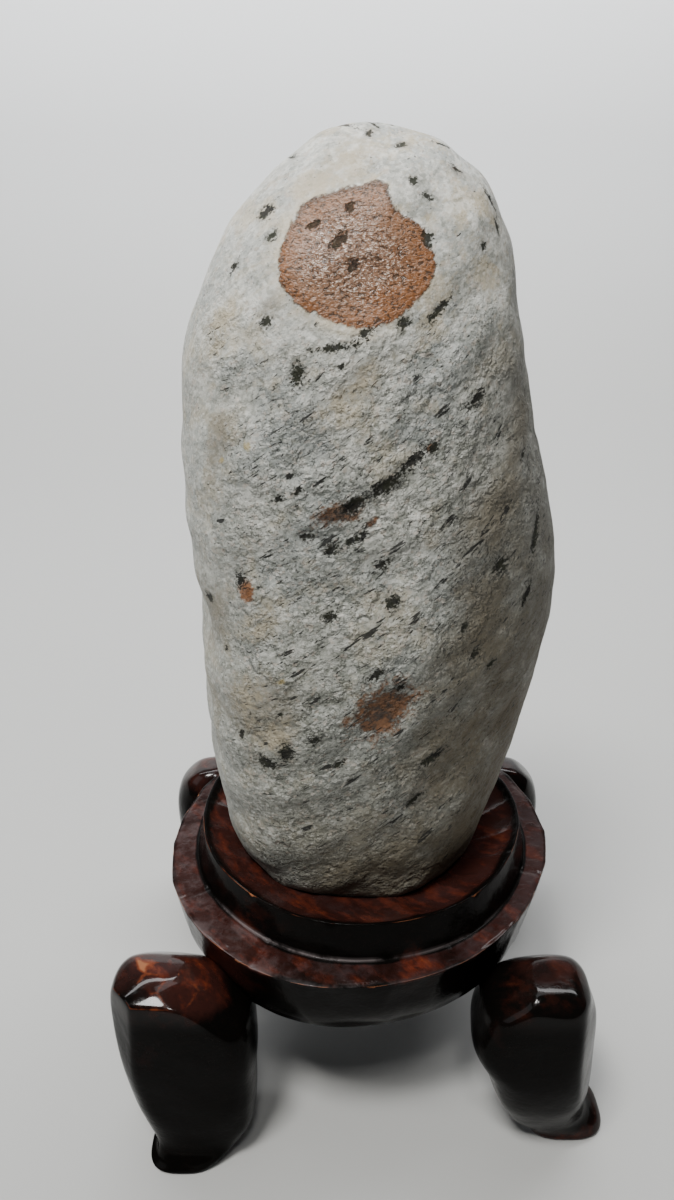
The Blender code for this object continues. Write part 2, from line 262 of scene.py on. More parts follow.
stone = {
    "around": 360,
    "rows": 268,
    "squareness": 2.35,
    "foot": (-1, 5, 78),
    "crown": (2, 1, 349),
    # height, left, right, front, back, x of the foremost line, y of the widest line, in mm
    "stations": (
        (78, -1, -1, 5, 5, -1, 5), (80.5, -31, 29, -28, 38, -2, 5),
        (89, -47.5, 44.2, -43, 53, -3, 5), (105, -54, 51.2, -48.5, 57.5, -5, 4.5),
        (126, -57, 58.2, -51.5, 58, -8, 3.5), (148, -58.3, 62.4, -53, 57, -10, 2),
        (170, -59, 65, -54, 55, -11, 1), (191, -59.2, 66.4, -54.2, 53.2, -11, 0),
        (211, -60.4, 66.4, -53.8, 51.5, -10, 0), (233, -62, 63.6, -52.8, 49.5, -8, 0),
        (256, -62, 58, -51, 47, -6, 0), (278, -59.4, 53, -47.5, 43.5, -4, 0),
        (299, -53.6, 48.1, -42.5, 39, -2, 0), (318, -44.8, 44.1, -35.2, 33.2, 0, 0.5),
        (334, -30.8, 35, -25, 25, 0.5, 1), (345, -15, 20.2, -12.5, 14.2, 1.2, 1),
        (349, 2, 2, 1, 1, 2, 1),
    ),
    # swellings and hollows: centre, reach, height
    "lumps": (
        ((-61, -20, 194), 11, -3.2), ((-48, -36, 205), 16, -1.8), ((-20, -54, 222), 20, -1.6),
        ((14, -53, 246), 18, -1.4), ((70, -4, 204), 26, 2), ((60, -20, 118), 28, -1.8),
        ((46, -40, 150), 28, -2.6), ((-30, -48, 150), 30, 1.8), ((-52, -18, 285), 26, 1),
        ((12, -50, 185), 24, 2), ((40, -30, 262), 22, -1.6), ((40, 30, 300), 26, 1.4),
        ((-30, 45, 240), 32, 3), ((34, 46, 205), 26, -3.4), ((-44, 40, 135), 22, -3),
        ((0, 44, 285), 20, -1.8), ((20, 56, 140), 24, 1.8), ((56, 22, 250), 18, -0.6),
        ((30, 52, 172), 9, -2), ((-58, 18, 165), 8, -1.4),
    ),
    "bandAcross": (0.56, 0.3, -0.77),
    "bandSpacing": 20,
    "bandHeight": 0.4,
    "bandWander": 3.2,
    "wanderSpacing": 1000 / 18,
    "unevenness": ((29, 1.2), (12.5, 0.7)),
    "calmSide": (34, 58, 0.75),     # the bands fade to the right: from x, to x, by how much
    "inset": 0.12,          # the fine relief starts this far inside the plain form
    "grainRelief": ((8, 0.62), (4.2, 0.36)),        # spacing and height on rough stone
    "grainStretch": 1.4,
    "roughRange": (0.12, 1.2),
    "darkDepth": 0.55,
    "brownDepth": 0.35,
    "sunRise": 0.1,
    # wavering borders: spacing and size of the waver, then where each starts and ends
    "borders": {
        "smoothTop": (30, 9, 268, 318),
        "smoothLeft": (24, 8, 34, 56),
        "dirtyFoot": (33, 14, -175, -95),
        "dirtyRight": (21, 12, -14, 22),
        "cleanBack": (17, 10, -20, 34),
    },
    # the round glossy patch: its outline seen from the front, as x and height
    "sun": (
        (2, 332.5), (-3, 331.5), (-10, 330), (-19, 326.5), (-23.5, 320), (-26, 313), (-26, 306.5),
        (-21.5, 300.5), (-14.5, 297.5), (-8, 295), (0, 294), (5, 295.6), (12, 300.2), (16.5, 304.5),
        (18.5, 309.5), (18, 314), (15.4, 316), (15.2, 320), (11, 323), (7, 325), (5.5, 328.5), (5, 331.5),
    ),
    "sunMiddle": 312,       # its height
    "sunEdge": 1,           # half the width of its edge
    "sunReach": 12,         # how far from its edge the distance is kept
    # marks on the front: x, height, half length, half width, turn from the bands in degrees, if any
    "darkMarks": (
        (-30, 324, 3.2, 2.5, 20), (-28, 318, 2, 1.6), (-40, 309, 2.4, 1.3, 50), (-30, 295, 2.2, 1.7),
        (-21, 282, 3.8, 2, 54), (-2, 293, 3, 1.3, -20), (9, 296, 2.2, 1.6), (20, 299, 5, 1.2),
        (-10, 289, 7.5, 1.1, -30), (-8, 284, 1.4, 1), (12, 332, 1.8, 1.3, -70), (16, 329, 2.2, 1.1, -75),
        (9, 342, 2.4, 1.3, -50), (0, 345, 2, 1.2), (22, 342, 3, 1, -75), (-23, 339, 3, 1, 5),
        (36, 328, 4, 1.1, -110), (38, 320, 2.8, 1.3, 54), (33, 315, 1.6, 1.2, 30), (25, 336, 2, 1.4, -60),
        (-9, 317, 3.8, 1.9), (-6, 325, 1.8, 1.5), (-5, 311, 2.2, 1.6), (16.5, 317, 2.5, 2, 70),
        (-16, 321.5, 2.2, 1.2, -20), (-24, 252, 1.5, 1), (-21, 249, 1.9, 1), (-27, 246, 1.9, 1),
        (-18, 234, 2.6, 1.5, -30), (-40, 217.6, 2.8, 1.9, 60), (-6, 233, 2.2, 1.4), (-2, 235, 2, 1.2),
        (-11, 231, 2.8, 1.7), (-52, 206, 3.4, 1.8), (-12, 208, 2.5, 1.9, -20), (-5, 244.5, 4.6, 2.4, -10),
        (13, 256.5, 6.4, 1.9, 5), (5, 250, 6, 2.4, -12), (19, 261, 2, 1.6), (32, 273, 4.2, 1.6),
        (49, 254, 2.6, 1.1), (55, 228, 8.5, 1.6, 32), (53, 208, 4.6, 1.4, 24), (42, 221, 3.2, 2.4),
        (4, 225, 2.8, 2), (7, 214, 2.7, 2.2, 40), (-28, 173, 1.5, 1), (-42, 161, 2.2, 1.2, 60),
        (-26, 159, 3.4, 2.8, 30), (-33, 153, 3.8, 2.7, -40), (-17, 165, 2.4, 1.7), (-9, 155, 2.9, 1.2),
        (2, 189, 3.4, 1.5), (23, 154, 5.6, 1.6, -5), (18, 137, 4.4, 1.1), (31, 202, 2, 1, 20),
        (35, 192, 2.4, 1.7), (41, 187, 2.6, 1.3), (11, 184, 1.8, 1.3), (-46, 191, 1.2, 1),
    ),
    "crackMarks": (
        (-15, 250, 5, 1.3, 15), (22, 271, 3.8, 1.3), (43, 239, 5, 1.3, 12), (37, 235, 5, 1.3, 8),
        (32, 228, 7, 1.3), (22, 219, 3.2, 1.2), (-26, 196, 5, 1.3, -12), (-2, 201, 9.5, 1.3),
        (-22, 189, 3, 1.2), (-27, 180, 6, 1.3, -22), (-18, 180, 4, 1.2, -10), (-14, 153, 3.4, 1.2, -20),
        (8, 230, 5, 1.5), (-14, 232, 7, 2, -10), (16, 208, 4, 1.2, 10), (30, 250, 5, 1.3, 8),
        (24, 238, 5, 1.3), (-30, 228, 4, 1.3), (12, 168, 6, 1.4), (28, 172, 5, 1.4, 10),
        (-4, 148, 5, 1.3), (10, 128, 6, 1.3), (-34, 140, 4, 1.2, -10), (22, 120, 5, 1.3, 5),
        (-20, 126, 4, 1.2), (40, 262, 4, 1.2, 15), (-46, 236, 4, 1.2, 20),
    ),
    "rustMarks": ((-38.4, 214.6, 4.8, 3.5, 70), (25, 336, 1.8, 1, -60), (18, 261, 1.8, 1.2)),
    "brownMarks": ((-9, 241, 9.5, 3.8, -20), (1, 239, 2.4, 1.5), (5, 175.5, 15, 9.5, 8)),
    "oliveMarks": (
        (38, 236, 20, 10, 10), (38, 208, 26, 13, 10), (30, 160, 30, 14, 10), (-2, 281, 9, 5, -10),
        (-29, 300, 5, 3), (-46, 260, 10, 6, 60), (10, 110, 26, 12), (48, 260, 14, 8, 20),
        (-36, 172, 24, 16), (-52, 202, 16, 14), (27, 334, 8, 3, -60),
    ),
    "yellowMarks": ((-44, 256, 1.6, 1.3), (-36, 261, 2.2, 1.5, 60), (-27, 186, 2, 1.3)),
    "creamMarks": (
        (-9, 272, 13, 6, -10), (0, 282, 10, 4), (-46, 290, 14, 8, 50), (-8, 338, 16, 8),
        (-34, 204, 11, 6), (-38, 178, 14, 8, 40), (-30, 165, 10, 5), (14, 345, 9, 5),
    ),
    # dark marks strewn behind the line y and above the height, with a spread of turns in degrees
    "strewn": {"seed": 11, "count": 150, "line": -6, "above": 90, "turn": 16},
    "strewnSize": (0.8, 2.4, 2.2),      # the least, what chance adds, and how seldom
    "strewnLength": (1, 2.2, 2),        # the same, as a share of the size
}

bandNormal = np.array(stone["bandAcross"])
bandNormal /= np.linalg.norm(bandNormal)


def stoneRings():
    height, left, right, front, back, crest, waist = np.array(stone["stations"]).T
    last = len(height) - 1
    places = last * np.arange(1, stone["rows"]) / stone["rows"]
    heights, crests, waists = (curveThrough(column, places) for column in (height, crest, waist))
    lefts, rights, fronts, backs = (
        curveThrough(side - middle, places, -1)
        for side, middle in ((left, crest), (right, crest), (front, waist), (back, waist))
    )
    x, y = squareDirections(stone["around"], stone["squareness"])
    across = np.where(x > 0, rights[:, None], lefts[:, None]) * np.abs(x)
    deep = np.where(y > 0, backs[:, None], fronts[:, None]) * np.abs(y)
    level = np.broadcast_to(heights[:, None], across.shape)
    return np.stack((crests[:, None] + across, waists[:, None] + deep, level), -1) * mm


def stoneRelief(points):
    # swellings, hollows and slanting bands, in mm
    height = np.zeros(len(points))
    for centre, reach, amount in stone["lumps"]:
        height += amount * fallOff(points, centre, reach)
    wander = stone["bandWander"] * noiseAt(points, stone["wanderSpacing"])
    across = points @ np.array(stone["bandAcross"]) / (stone["bandSpacing"] * mm)
    start, end, most = stone["calmSide"]
    calm = 1 - most * smoothStep(points[:, 0] / mm, start, end)
    height += stone["bandHeight"] * calm * np.sin(2 * math.pi * across + wander)
    for spacing, amount in stone["unevenness"]:
        height += amount * calm * noiseAt(points, spacing)
    return height


def bandedPlace(points, stretch):
    # the same points, drawn out along the bands
    off = (points @ bandNormal)[:, None] * bandNormal
    return (points - off) / stretch + off


def signedInside(points, outline):
    # distance inside a closed outline, in mm, below 0 outside it; seen from the front
    place = points[:, [0, 2]] / mm
    corners = np.array(outline, float)
    nearest = np.full(len(place), np.inf)
    inside = np.zeros(len(place), bool)
    for start, end in zip(corners, np.roll(corners, -1, axis=0)):
        run = end - start
        t = np.clip((place - start) @ run / (run @ run), 0, 1)
        nearest = np.minimum(nearest, np.linalg.norm(place - start - t[:, None] * run, axis=1))
        spans = (start[1] > place[:, 1]) != (end[1] > place[:, 1])
        crossing = start[0] + (place[:, 1] - start[1]) * run[0] / (run[1] or 1e-9)
        inside ^= spans & (place[:, 0] < crossing)
    return np.clip(np.where(inside, nearest, -nearest), -stone["sunReach"], stone["sunReach"])


def markField(points, normals, marks):
    # 1 in the middle of a mark, 0 at its edge, down to -1 outside
    field = np.full(len(points), -1.0)
    for vertex, length, width, turn in marks:
        normal = normals[vertex]
        trace = np.cross(normal, bandNormal)
        trace /= np.linalg.norm(trace)
        side = np.cross(normal, trace)
        angle = math.radians(turn)
        lengthways = math.cos(angle) * trace + math.sin(angle) * side
        widthways = math.cos(angle) * side - math.sin(angle) * trace
        away = (points - points[vertex]) / mm
        distance = np.sqrt(
            (away @ lengthways / length) ** 2
            + (away @ widthways / width) ** 2
            + (away @ normal / (1.5 * max(length, width))) ** 2
        )
        field = np.maximum(field, 1 - distance)
    return field


def placedMarks(points, marks):
    # each mark goes to the front vertex that is seen at its x and height
    placed = []
    for x, height, length, width, *turn in marks:
        away = (points[:, 0] / mm - x) ** 2 + (points[:, 2] / mm - height) ** 2
        away[points[:, 1] > 0] = np.inf
        placed.append((int(np.argmin(away)), length, width, sum(turn)))
    return placed


def strewnMarks(points):
    # marks on the back and the sides, where the bands carry on
    strewn = stone["strewn"]
    leastSize, moreSize, sizePower = stone["strewnSize"]
    leastLength, moreLength, lengthPower = stone["strewnLength"]
    draw = random.Random(strewn["seed"])
    marks = []
    while len(marks) < strewn["count"]:
        vertex = draw.randrange(len(points))
        size = leastSize + moreSize * draw.random() ** sizePower
        length = size * (leastLength + moreLength * draw.random() ** lengthPower)
        turn = draw.gauss(0, strewn["turn"])
        if points[vertex][1] > strewn["line"] * mm and points[vertex][2] > strewn["above"] * mm:
            marks.append((vertex, length, size * 0.75, turn))
    return marks


def softBorder(points, along, name):
    # 0 before a wavering border and 1 after it
    spacing, waver, start, end = stone["borders"][name]
    return smoothStep(along + waver * noiseAt(points, spacing), start, end)


def stoneMesh():
    foot, crown = np.array((stone["foot"], stone["crown"])) * mm
    mesh = loftMesh("gneiss_boulder", stoneRings(), foot, crown)
    raiseBy(mesh, stoneRelief(pointsOf(mesh)) * mm)
    points = pointsOf(mesh)
    normals = pointsOf(mesh, "normal")
    x, y, z = (points / mm).T

    inSun = signedInside(points, stone["sun"])
    inSun[y > 0] = -stone["sunReach"]
    sun = smoothStep(inSun, -stone["sunEdge"], stone["sunEdge"])
    polish = softBorder(points, z, "smoothTop")
    polish = np.maximum(polish, 0.8 * softBorder(points, -x, "smoothLeft"))
    # the skin is rougher in some places, and smoother where polished and on the far right
    rough = (1 - 0.8 * polish) * (0.75 + 0.5 * noiseAt(points, 22))
    rough = np.clip(rough, *stone["roughRange"]) * (1 - 0.4 * smoothStep(x, 40, 60))

    dark = placedMarks(points, stone["darkMarks"]) + strewnMarks(points)
    fields = {"darkMark": markField(points, normals, dark)}
    for kind in ("crack", "rust", "brown", "olive", "yellow", "cream"):
        marks = placedMarks(points, stone[kind + "Marks"])
        fields[kind + "Mark"] = markField(points, normals, marks)

    height = np.full(len(points), -stone["inset"])
    for spacing, amount in stone["grainRelief"]:
        grain = noiseAt(bandedPlace(points, stone["grainStretch"]), spacing)
        height += amount * (grain - 0.25) * rough
    sunk = smoothStep(fields["darkMark"], 0, 0.7) * (0.3 + 0.7 * rough)
    height -= stone["darkDepth"] * sunk
    height -= stone["brownDepth"] * smoothStep(fields["brownMark"], 0, 0.5)
    height += stone["sunRise"] * sun
    raiseBy(mesh, height * mm)

    # olive dirt together with painted shade, low on the front and on the right side but less behind it
    lowDown = softBorder(points, -z, "dirtyFoot") * smoothStep(-y, -30, 30)
    rightSide = softBorder(points, x - 0.12 * z, "dirtyRight")
    rightSide *= 1 - 0.5 * softBorder(points, y, "cleanBack")
    dirtAndShade = np.maximum(0.78 * lowDown * smoothStep(x, -46, -4), rightSide)
    fields |= {"sunInside": inSun, "polish": polish, "rough": rough, "dirtAndShade": dirtAndShade}
    addFields(mesh, **fields, hollow=convexity(mesh, 2))
    return mesh


stoneLook = {
    "white": (0.67, 0.665, 0.615), "cream": (0.55, 0.48, 0.35),
    "sand": (0.43, 0.37, 0.26), "pink": (0.48, 0.4, 0.33),
    "grey": (0.35, 0.355, 0.325), "greenGrey": (0.172, 0.18, 0.148),
    "shade": (0.105, 0.11, 0.095), "slate": (0.13, 0.125, 0.105),
    "blueGrey": (0.285, 0.315, 0.325), "olive": (0.112, 0.09, 0.055),
    "dark": (0.0085, 0.0085, 0.0075), "darkGreen": (0.019, 0.021, 0.012),
    "brown": (0.032, 0.016, 0.009), "umber": (0.155, 0.066, 0.026),
    "rust": (0.2, 0.072, 0.018), "yellow": (0.38, 0.29, 0.1),
    "sunPaleAndSheen": (0.255, 0.15, 0.1), "sunTan": (0.275, 0.137, 0.072),
    "sunOrange": (0.235, 0.09, 0.029), "sunDark": (0.048, 0.029, 0.018),
    "sunGlint": (0.75, 0.64, 0.54),
}
bandTurn = (
    math.atan2(-bandNormal[1], -bandNormal[2]),
    math.atan2(bandNormal[0], math.hypot(bandNormal[1], bandNormal[2])),
    0,
)


def gneissMaterial():
    s = Shader(bpy.data.materials.new("weathered_gneiss"), stoneLook)
    place = s.place()
    # the same place drawn out along the bands: a little for grains, more for flakes and cracks
    grainPlace = s.turned(place, bandTurn, (0.95, 1, 1.3))
    flakePlace = s.turned(place, bandTurn, (0.7, 0.9, 1.6))
    crackPlace = s.turned(place, bandTurn, (0.4, 0.9, 2.4))
    rough, polish, dirtAndShade = (s.field(name) for name in ("rough", "polish", "dirtAndShade"))
    toRight = s.along(place, 0)
    lower = stone["sunMiddle"] - s.along(place, 2)

    drift = s.cloud(place, 40, 3)
    warmth = s.cloud(place, 15, 5, 0.62)
    blotch = s.cloud(grainPlace, 9, 5, 0.65)
    smudge = s.cloud(grainPlace, 5.2, 5, 0.6, 0.6)
    mottle = s.cloud(grainPlace, 2.4, 5, 0.7)
    speck = s.cloud(grainPlace, 1, 4, 0.68)
    grit = s.cloud(place, 0.6, 3, 0.65)
    crack = s.cloud(crackPlace, 2.2, 4, 0.62, 0.3)
    vein = s.cloud(grainPlace, 6, 4, 0.6, 0.8)
    streak = s.cloud(crackPlace, 4.5, 4, 0.65, 0.5)
    grainy = s.step(s.cloud(place, 8, 4, 0.6), 0.4, 0.58) * (1 - polish * 0.6)
    crystal = s.cells(grainPlace, 1.3, "Color")
    pale, dull, rosy = (s.node("ShaderNodeSeparateColor", {}, (crystal,), k) for k in range(3))

    # tones, from the widest to single crystals, painted shade towards the bottom, then dirt with painted
    # shade, and grit
    colour = s.mix(s.step(blotch, 0.4, 0.6), "white", "grey")
    dirtAndShadeTint = s.mix(s.step(lower, 60, 165), "slate", "olive")
    colour = s.layers(
        colour,
        (smudge, 0.49, 0.63, 0.68 - polish * 0.24, "greenGrey"),
        (drift, 0.42, 0.6, 0.55 - polish * 0.15, "blueGrey"),
        (warmth, 0.52, 0.64, 0.62, "cream"),
        (mottle, 0.5, 0.64, 0.5 - polish * 0.26, "greenGrey"),
        (mottle, 0.46, 0.34, 0.45, "white"),
        (vein, 0.5, 0.62, polish * 0.85, "grey"),
        (warmth, 0.51, 0.6, polish * 0.62, "sand"),
        (streak, 0.52, 0.64, polish * 0.55, "sand"),
        (blotch, 0.46, 0.36, polish * 0.55, "white"),
        # painted light: the smooth top paler towards the left
        (toRight, 6, -36, polish * 0.25, "white"),
        # painted shade: darker and greener towards the bottom, less at the far left where the light falls
        (lower, 0, 45, 0.26, "greenGrey"),
        (lower, 50, 150, 0.38, "greenGrey"),
        (lower, 90, 190, s.step(toRight, -60, -15) * 0.26, "shade"),
        # pale single crystals, partly painted glints
        (pale, 0.72, 0.85, 0.38, "white"),
        (dull, 0.76, 0.92, 0.38, "greenGrey"),
        (rosy, 0.86, 0.96, 0.4, "pink"),
        # dirt with painted shade: darker and olive low on the front and on the right
        (warmth * 0.6 + blotch * 0.4, 0.14, 0.56, dirtAndShade, dirtAndShadeTint),
        (speck, 0.53, 0.66, grainy * 0.5, "shade"),
        (grit, 0.53, 0.68, grainy * 0.35 + 0.12, "shade"),
        (grit, 0.46, 0.34, 0.24 - dirtAndShade * 0.18, "white"),
    )

    # stains and coloured marks, with blotted or ragged edges
    patchy = s.step(smudge * 0.6 + mottle * 0.4, 0.42, 0.56) * 0.75 + 0.25
    uneven = (warmth - 0.5) * 2 + (mottle - 0.5)
    blotted = (smudge - 0.5) * 1.5 + (mottle - 0.5) * 1.2 + (speck - 0.5)
    ragged = (speck - 0.5) * 2.5 + (mottle - 0.5) * 1.6
    brownTint = s.mix(s.step(smudge * 0.5 + mottle * 0.5, 0.43, 0.57), "brown", "umber")
    colour = s.layers(
        colour,
        (s.field("oliveMark") + uneven, -0.3, 0.8, 0.5, "olive"),
        (s.field("creamMark") + uneven, -0.3, 0.8, patchy * 0.66, "sand"),
        (s.field("brownMark") + blotted, -0.1, 0.5, 0.94, brownTint),
        (s.field("rustMark") + blotted * 0.7, 0, 0.4, 0.9, "rust"),
        (s.field("yellowMark") + ragged * 0.5, 0, 0.6, 0.6, "yellow"),
    )

    # flecks and cracks, thicker in some places, and the dark marks
    crowd = s.step(drift * 0.4 + blotch * 0.6, 0.43, 0.6)
    darkMark = s.field("darkMark")
    dark = s.step(darkMark + ragged, -0.06, 0.4)
    darkTint = s.mix(s.step(smudge + (speck - 0.5) * 0.6, 0.42, 0.62), "dark", "darkGreen")
    near = s.step(darkMark, -0.95, 0.1)
    fleck = s.step(speck + crowd * 0.05 + near * 0.09 - polish * 0.04, 0.6, 0.7)
    crackMark = s.step(s.field("crackMark"), -0.15, 0.45)
    line = s.step(crack + crackMark * 0.16 + crowd * 0.04 - polish * 0.06, 0.635, 0.685)
    flecks = s.larger(fleck * 0.65, line * 0.92)

    # the glossy round patch, crinkled across, in a pale halo, with painted glints on its crests, painted
    # shade in its hollows, and a paler middle that is partly a painted sheen
    inSun = s.field("sunInside")
    ripplePlace = s.turned(place, (0, 0.15, 0), (0.72, 1, 1.1))
    ripple = s.cloud(ripplePlace, 1, 2, 0.58, 0.6)
    glitterPlace = s.turned(place, (0, 0.15, 0), (0.48, 1, 1.2))
    glitter = s.cloud(glitterPlace, 0.42, 1)
    rim = inSun + (smudge - 0.5) * 3 + (mottle - 0.5) * 2.2 + (speck - 0.5) * 1.6
    sun = s.step(rim, -0.4, 0.5)
    wavering = inSun + (warmth - 0.5) * 8
    leftward = s.step(toRight - lower * 0.4, 14, -10)
    colour = s.layers(colour, (wavering, -6, 0, leftward * patchy * 0.62, "cream"))
    centre = s.step(inSun, 3, 11) * 0.7
    lowRight = s.step(toRight * 0.8 + lower * 0.75 + (blotch - 0.5) * 40, 2, 14)
    outside = s.step(wavering, 5, 0.8) * s.step(lower, -14, 0)
    sunTint = s.mix(s.step(blotch, 0.4, 0.6) * 0.3 + centre, "sunTan", "sunPaleAndSheen")
    sunTint = s.mix(s.larger(lowRight, outside) * 0.85, sunTint, "sunOrange")
    sunTint = s.layers(
        sunTint,
        # painted shade in the hollows of the crinkles
        (ripple, 0.48, 0.37, 0.86, "sunDark"),
        (glitter, 0.46, 0.36, centre * 0.35 + 0.35, "sunDark"),
        # painted glints on the crests
        (ripple * 0.5 + glitter * 0.5, 0.565, 0.62, centre * 0.95 + 0.08, "sunGlint"),
        (mottle, 0.57, 0.64, 0.75, "sunDark"),
        (rim, 2, 0.2, s.step(lower, -4, -15) * 0.55 + 0.15, "sunDark"),
    )

    colour = s.layers(colour, (smudge + (speck - 0.5), 0.36, 0.6, near * 0.5, "slate"))
    colour = s.mix(flecks * (1 - sun * 0.6), colour, "dark")
    colour = s.mix(sun, colour, sunTint)
    colour = s.mix(dark * (0.95 - sun * 0.13), colour, darkTint)
    # painted shade: darker olive in the hollows
    colour = s.layers(colour, (s.field("hollow"), 0, -0.22, 0.5, "olive"))

    # fine relief: rounded grains, bumps along the bands, flecks and cracks sunk in
    bend = s.node("ShaderNodeTexNoise", {}, {"Vector": place, "Scale": 900, "Detail": 1}, "Color")
    bending = (bend, (0.7 * mm, 0.7 * mm, 0.7 * mm), grainPlace)
    bentPlace = s.node("ShaderNodeVectorMath", {"operation": "MULTIPLY_ADD"}, bending)
    grains = s.cloud(grainPlace, 3, 5, 0.62) * 1.6
    lenses = s.cloud(flakePlace, 5.5, 3) * 2
    crystals = s.cells(bentPlace, 1.5) * -0.28
    sharp = 1.25 - s.step(lower, 90, 190) * 0.55
    stoneHeight = grains + lenses + crystals + (speck * 0.4 + grit * 0.24) * sharp
    stoneHeight = stoneHeight - dark * 0.5 - flecks * 0.6
    crinkle = ripple * 0.62 + glitter * 0.1 + s.cloud(place, 3, 3) * 0.7
    crinkle = crinkle * (1 - dark * 0.8)
    relief = stoneHeight * (rough * (grainy * 0.75 + 0.45) + 0.05) * (1 - sun) + crinkle * sun
    gloss = 0.64 - sun * (centre * 0.36 + 0.3) - polish * 0.14 * (1 - sun) + (mottle - 0.5) * 0.16
    gloss = gloss + dark * (sun * 0.6 + 0.3)
    normal = s.bump(relief, 0.9)
    return s.finish(
        Base_Color=colour, Roughness=gloss, Normal=normal, IOR=1.5, Specular_IOR_Level=0.3
    )


boulderMesh = stoneMesh()
showPiece("gneiss_boulder", boulderMesh, gneissMaterial(), "stone")
print("stone made:", len(boulderMesh.polygons), "faces")


# The stand's block

block = {
    "around": 480,
    "turn": -22,            # of the lower oval, in degrees
    "underside": 58,
    # corners of the profile: height, half width, half depth, share of the turned oval, rounding, step.
    # Places along it count them: the wall is 1 to 3, the ledge 3 to 4, the collar 4 to 5, the rim 5 to 6
    "corners": (
        (58, 40, 45, 1, 0, 3),
        (58, 69.4, 76.1, 1, 1.6, 3),
        (67, 72.9, 80.1, 1, 5, 1.1),
        (85, 76.3, 83.6, 1, 1.2, 1.1),
        (84.7, 66.9, 70.5, 0, 0.6, 0.75),
        (98, 64.2, 67.1, 0, 0.5, 0.9),
        (98, 62.9, 65.7, 0, 0.5, 0.5),
    ),
    "roundingSteps": 6,
    "dishFloor": 88.4,
    "dishRise": 9.4,
    "dishPower": 4.8,
    # the dish: close rows where it shows, wider ones under the stone, with the share of each
    "dishRows": 32,
    "dishShare": 0.33,
    "seatRows": 20,
    "seatShare": 0.67,
    "dishStart": 6,         # places from here on are in the dish
    "dishSpread": 0.4,      # share of the radius for each place
    # knife facets: how many, strength, radius of the wall
    "facets": {"wall": (25, 0.75, 78), "collar": (31, 0.4, 66), "dish": (19, 1.1, 58)},
    "facetSeed": 5,
    "facetUneven": 14,
    "cutterRise": 20,       # how far the legs' cutter goes on above the ledge
    # where the lacquer is thinnest: centre, reach and amount
    "redSpots": (((-52, -62, 80), 15, 1), ((18, -72, 85), 4, 2)),
    "ledgeWaves": ((9, 0.22), (3.2, 0.1)),
    "waves": ((11, 0.14), (4, 0.05)),
    # nicks: angle in degrees, height, half width, depth
    "nicks": (
        (-119.4, 85, 1.6, 0.9), (-64, 85, 1.2, 0.4), (-20, 85, 1.5, 0.5), (48, 85, 1.4, 0.6),
        (131, 85, 1.8, 0.7), (-150, 85, 1.2, 0.4), (-100, 98, 1.3, 0.35), (-128, 98, 1.5, 0.5),
        (-52, 98, 1.6, 0.55), (-25, 98, 1.2, 0.4), (20, 98, 1.5, 0.4), (110, 98, 1.6, 0.5),
    ),
}


def ovalRadius(angles, halfWidth, halfDepth, turned):
    # radius of a hand-cut oval at each angle; turned runs from 0 to 1
    straightOval, turnedOval = (
        1 / np.hypot(np.cos(angles - turn) / halfWidth, np.sin(angles - turn) / halfDepth)
        for turn in (0, math.radians(block["turn"]))
    )
    uneven = 1 + 0.0045 * np.sin(3 * angles + 0.6) + 0.0035 * np.sin(7 * angles + 2.1)
    return (turned * turnedOval + (1 - turned) * straightOval) * uneven


def roundedPath(corners):
    # rows of the profile with its corners rounded: height, half widths, share turned, place
    spots = np.array(corners, float)
    path = [np.append(spots[0, :4], 0)]
    last = len(spots) - 1
    for k in range(1, last + 1):
        here, rounding, step = spots[k, :4], spots[k, 4], spots[k, 5]
        arriving = here - spots[k - 1, :4]
        begin = path[-1][:4]
        end = here - arriving * min(0.45, rounding / np.linalg.norm(arriving[:2]))
        count = max(1, round(np.linalg.norm((end - begin)[:2]) / step))
        for t in np.linspace(0, 1, count + 1)[1:]:
            path.append(np.append(begin + (end - begin) * t, k - 1 + t * 0.999))
        if k < last:
            leaving = spots[k + 1, :4] - here
            leave = here + leaving * min(0.45, rounding / np.linalg.norm(leaving[:2]))
            for t in np.linspace(0, 1, block["roundingSteps"] + 1)[1:]:
                point = (1 - t) ** 2 * end + 2 * t * (1 - t) * here + t * t * leave
                path.append(np.append(point, k))
    return np.array(path)


def between(place, *limits):
    # 1 between four places: rising over the first two, falling over the last two
    return smoothStep(place, *limits[:2]) * (1 - smoothStep(place, *limits[2:]))


def facetShave(angles, count, strength, radius, seed, lean=0):
    # how far a knife has flattened a round wall between ridges, in mm
    draw = random.Random(seed)
    ridges = [2 * math.pi * (i + draw.uniform(-0.3, 0.3)) / count for i in range(count)]
    ridges = np.array([ridges[-1] - 2 * math.pi, *ridges, ridges[0] + 2 * math.pi])
    around = np.mod(angles + lean, 2 * math.pi)
    index = np.clip(np.searchsorted(ridges, around) - 1, 0, len(ridges) - 2)
    width = ridges[index + 1] - ridges[index]
    t = 2 * (around - ridges[index]) / width - 1
    return strength * radius * (width / 2) ** 2 / 2 * (1 - t * t)


def blockMesh():
    angles = 2 * math.pi * np.arange(block["around"]) / block["around"]
    path = roundedPath(block["corners"])
    radii = [ovalRadius(angles, *row[1:4]) for row in path]
    rim = radii[-1]
    heights = list(path[:, 0])
    places = list(path[:, 4])
    dishRows, seatRows = block["dishRows"], block["seatRows"]
    shares = [1 - block["dishShare"] * (i + 1) / dishRows for i in range(dishRows)]
    shares += [block["seatShare"] * (1 - (i + 1) / (seatRows + 1)) for i in range(seatRows)]
    for share in shares:
        radii.append(rim * share)
        heights.append(block["dishFloor"] + block["dishRise"] * share ** block["dishPower"])
        places.append(block["dishStart"] + (1 - share) / block["dishSpread"])
    radii = np.array(radii)
    level = np.broadcast_to(np.array(heights)[:, None], radii.shape)
    rings = np.stack((radii * np.cos(angles), radii * np.sin(angles), level), -1) * mm
    foot = (0, 0, block["underside"] * mm)
    seat = (0, 0, block["dishFloor"] * mm)
    mesh = loftMesh("carved_block", rings, foot, seat)
    return mesh, np.append(np.repeat(places, block["around"]), (0, 9))


